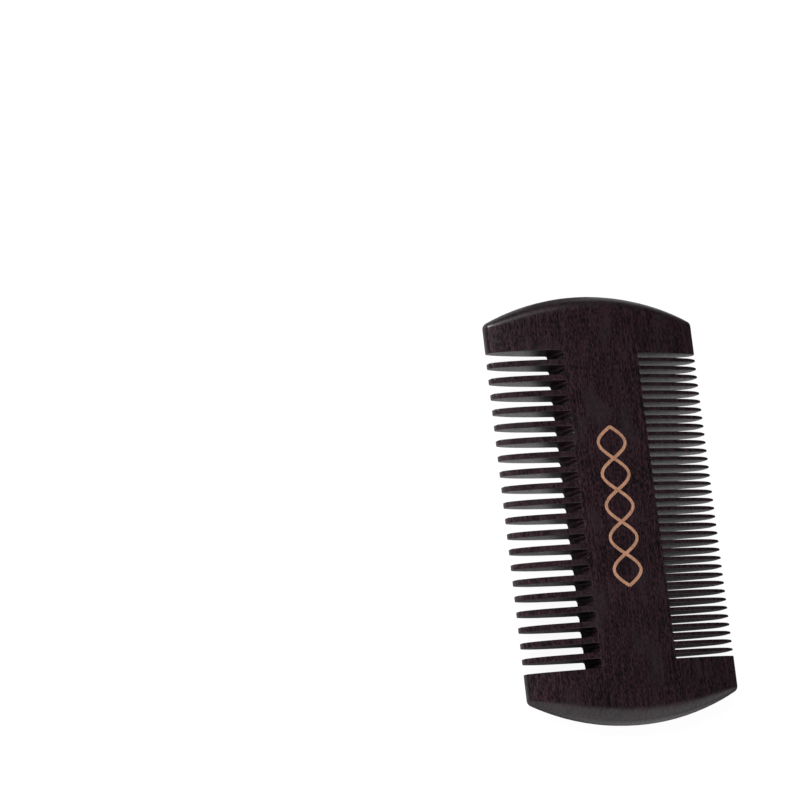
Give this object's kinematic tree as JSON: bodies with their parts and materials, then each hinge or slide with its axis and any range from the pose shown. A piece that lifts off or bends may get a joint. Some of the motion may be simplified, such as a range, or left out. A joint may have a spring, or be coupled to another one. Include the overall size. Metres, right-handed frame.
{
  "type": "beard comb",
  "caption": "Flat wooden pocket comb with a solid spine, curved end guards, a coarse row on one side and a fine row on the other, and a copper foil braid on its face.",
  "frame": {"origin": "on the plane of the flat back face, under the middle of the comb's length and width", "axes": "+Z out of the front face (the one with the foil), +Y along the comb towards the top end, +X across it towards the fine row, so the coarse row points to -X"},
  "size_m": [0.0612, 0.11, 0.0092],
  "materials": {
    "dark_wood": "satin oiled hardwood, near-black brown",
    "copper_foil": "satin copper foil stamp"
  },
  "bodies": {
    "root": {"spine": "dark_wood", "end_guard_top": "dark_wood", "end_guard_bottom": "dark_wood", "coarse_tooth_01": "dark_wood", "coarse_tooth_02": "dark_wood", "coarse_tooth_03": "dark_wood", "coarse_tooth_04": "dark_wood", "coarse_tooth_05": "dark_wood", "coarse_tooth_06": "dark_wood", "coarse_tooth_07": "dark_wood", "coarse_tooth_08": "dark_wood", "coarse_tooth_09": "dark_wood", "coarse_tooth_10": "dark_wood", "coarse_tooth_11": "dark_wood", "coarse_tooth_12": "dark_wood", "coarse_tooth_13": "dark_wood", "coarse_tooth_14": "dark_wood", "coarse_tooth_15": "dark_wood", "coarse_tooth_16": "dark_wood", "coarse_tooth_17": "dark_wood", "coarse_tooth_18": "dark_wood", "coarse_tooth_19": "dark_wood", "coarse_tooth_20": "dark_wood", "fine_tooth_01": "dark_wood", "fine_tooth_02": "dark_wood", "fine_tooth_03": "dark_wood", "fine_tooth_04": "dark_wood", "fine_tooth_05": "dark_wood", "fine_tooth_06": "dark_wood", "fine_tooth_07": "dark_wood", "fine_tooth_08": "dark_wood", "fine_tooth_09": "dark_wood", "fine_tooth_10": "dark_wood", "fine_tooth_11": "dark_wood", "fine_tooth_12": "dark_wood", "fine_tooth_13": "dark_wood", "fine_tooth_14": "dark_wood", "fine_tooth_15": "dark_wood", "fine_tooth_16": "dark_wood", "fine_tooth_17": "dark_wood", "fine_tooth_18": "dark_wood", "fine_tooth_19": "dark_wood", "fine_tooth_20": "dark_wood", "fine_tooth_21": "dark_wood", "fine_tooth_22": "dark_wood", "fine_tooth_23": "dark_wood", "fine_tooth_24": "dark_wood", "fine_tooth_25": "dark_wood", "fine_tooth_26": "dark_wood", "fine_tooth_27": "dark_wood", "fine_tooth_28": "dark_wood", "fine_tooth_29": "dark_wood", "fine_tooth_30": "dark_wood", "fine_tooth_31": "dark_wood", "fine_tooth_32": "dark_wood", "fine_tooth_33": "dark_wood", "fine_tooth_34": "dark_wood", "fine_tooth_35": "dark_wood", "fine_tooth_36": "dark_wood", "foil_braid": "copper_foil"}
  },
  "joints": []
}
